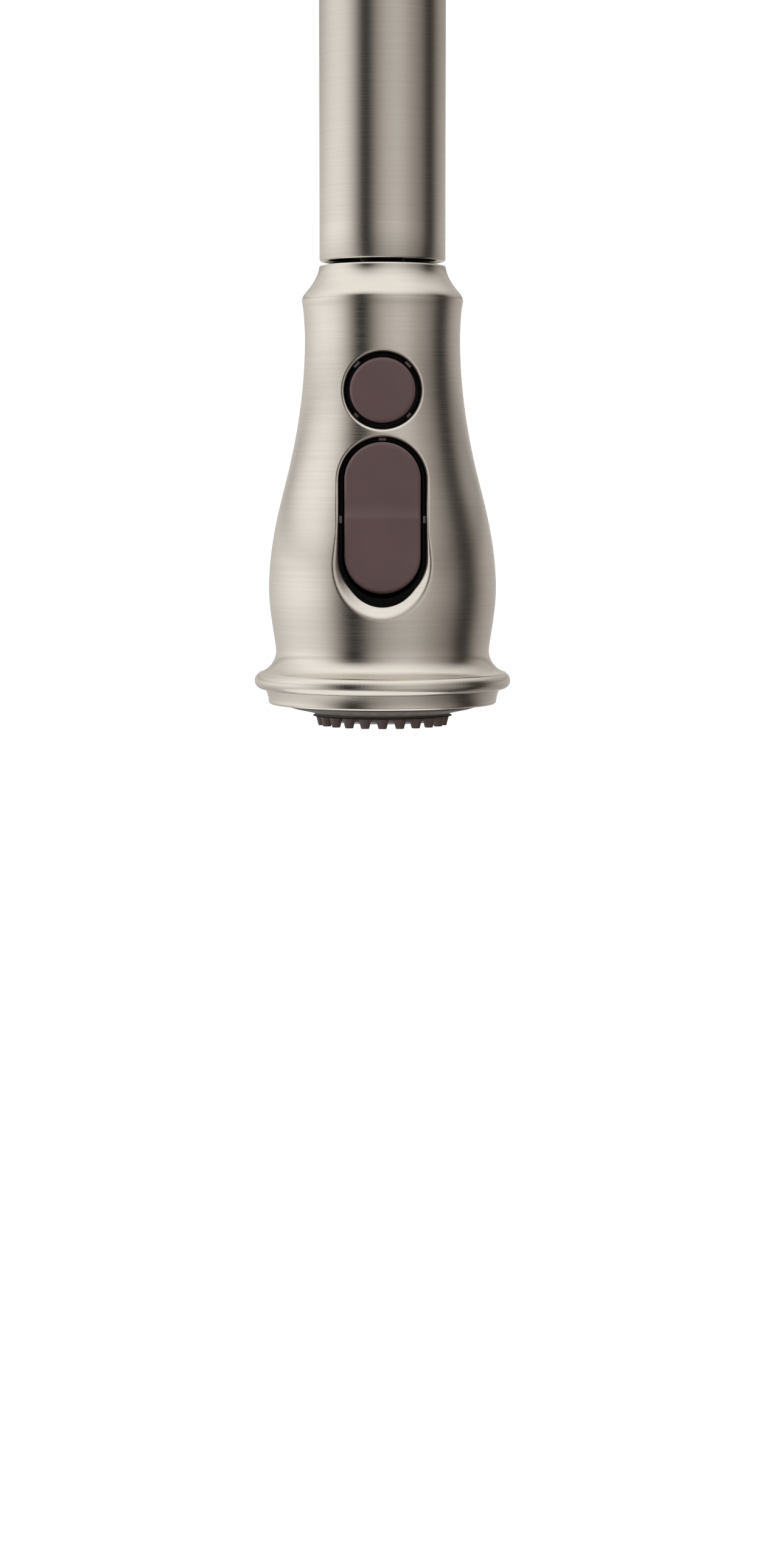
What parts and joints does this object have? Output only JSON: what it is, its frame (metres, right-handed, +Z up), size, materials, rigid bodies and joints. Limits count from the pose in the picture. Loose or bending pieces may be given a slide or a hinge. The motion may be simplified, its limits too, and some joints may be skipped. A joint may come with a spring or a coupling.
{
  "type": "pull-down kitchen faucet",
  "caption": "Deck-mounted kitchen faucet with a swivelling gooseneck, one side lever and a pull-down spray head with a pause button and a spray rocker.",
  "frame": {"origin": "centre of the deck hole, on the deck's top face", "axes": "+Z up the riser; +X from the riser towards the spray head; the lever is on the +Y side; the docked spray head's buttons face -Y"},
  "size_m": [0.2617, 0.1138, 0.5903],
  "materials": {
    "brushed_nickel": "brushed nickel plate",
    "polished_trim": "satin",
    "mauve_button": "satin",
    "mauve_rubber": "satin",
    "grey_plastic": "matte",
    "black_plastic": "matte",
    "black_rubber": "matte",
    "brass": "machined",
    "steel": "zinc plated",
    "copper": "drawn copper tube",
    "ceramic": "lapped ceramic",
    "hose_braid": "nylon braid over rubber"
  },
  "bodies": {
    "base": {"deck_flange": "brushed_nickel", "deck_seal": "black_rubber", "mounting_shank": "brass", "rubber_washer": "black_rubber", "steel_washer": "steel", "mounting_nut": "brass", "nut_screws": "steel", "valve_body": "brushed_nickel", "waterway_block": "brass", "supply_pipes": "copper", "outlet_pipe": "copper", "cartridge_base": "grey_plastic", "cartridge_seals": "black_rubber", "fixed_disc": "ceramic", "cartridge_housing": "grey_plastic", "cartridge_nut": "brass", "bonnet": "brushed_nickel", "swivel_nut": "brushed_nickel", "swivel_bushes": "black_plastic"},
    "mixer_turn": {"cartridge_carrier": "black_plastic", "stem_pin": "steel"},
    "mixer_disc": {"moving_disc": "ceramic", "disc_carrier": "black_plastic"},
    "handle": {"cartridge_stem": "brass", "handle_hub": "brushed_nickel", "handle_lever": "brushed_nickel", "handle_screw": "steel", "handle_cap": "polished_trim"},
    "spout": {"gooseneck": "brushed_nickel", "spout_ferrule": "brass", "dock_sleeve": "black_plastic", "hose_arch": "hose_braid", "hose_tail_fitting": "brass"},
    "hose_end": {"hose_drop": "hose_braid", "hose_fitting": "brass", "hose_washer": "black_rubber", "inlet_swivel": "brass", "dock_collar": "black_plastic"},
    "head": {"head_shell": "brushed_nickel", "ball_nut": "black_plastic", "ball_seal": "black_rubber", "waterway_core": "black_plastic", "button_frame": "black_plastic", "frame_clips": "grey_plastic", "rocker_pin": "steel", "core_screws": "steel", "face_ring": "brushed_nickel", "nozzle_plate": "grey_plastic", "nozzle_pad": "mauve_rubber", "nozzle_backing": "grey_plastic", "aerator_housing": "polished_trim", "aerator_insert": "grey_plastic", "aerator_seal": "black_rubber"},
    "pause": {"pause_button": "mauve_button", "pause_stem": "grey_plastic", "pause_spring": "steel", "pause_seal": "black_rubber"},
    "rocker": {"rocker_button": "mauve_button"},
    "diverter": {"diverter_spool": "grey_plastic", "spool_seals": "black_rubber"}
  },
  "joints": [
    {"name": "spout_swivel", "type": "hinge", "parent": "base", "child": "spout", "pos_m": [0, 0, 0.12], "axis": [0, 0, 1], "range_deg": [-180, 180]},
    {"name": "handle_turn", "type": "hinge", "parent": "base", "child": "mixer_turn", "pos_m": [0, 0.042, 0.058], "axis": [0, 1, 0], "range_deg": [-45, 45]},
    {"name": "handle_lift", "type": "hinge", "parent": "mixer_turn", "child": "handle", "pos_m": [0, 0.042, 0.058], "axis": [-1, 0, 0], "range_deg": [0, 20]},
    {"name": "disc_slide", "type": "slide", "parent": "mixer_turn", "child": "mixer_disc", "axis": [0, 0, 1], "range_m": [0, 0.00265]},
    {"name": "head_pull", "type": "slide", "parent": "spout", "child": "hose_end", "axis": [0, 0, -1], "range_m": [0, 0.45], "stiffness_N_per_m": 10, "springref_m": -0.5, "deforming": ["hose_drop"]},
    {"name": "head_turn", "type": "hinge", "parent": "hose_end", "child": "head", "pos_m": [0.2, 0, 0.262], "axis": [0, 0, 1], "continuous": true},
    {"name": "pause_press", "type": "slide", "parent": "head", "child": "pause", "axis": [0, 1, 0], "range_m": [0, 0.0025], "stiffness_N_per_m": 800, "springref_m": -0.001, "deforming": ["pause_spring"]},
    {"name": "rocker_tilt", "type": "hinge", "parent": "head", "child": "rocker", "pos_m": [0.2, -0.016, 0.2122], "axis": [1, 0, 0], "range_deg": [0, 8]},
    {"name": "diverter_shift", "type": "slide", "parent": "head", "child": "diverter", "axis": [0, 0, 1], "range_m": [0, 0.00153]}
  ],
  "couplings": [
    {"joint": "disc_slide", "follows": "handle_lift", "m_per_rad": 0.0075},
    {"joint": "rocker_tilt", "follows": "diverter_shift", "rad_per_m": 90.9}
  ]
}
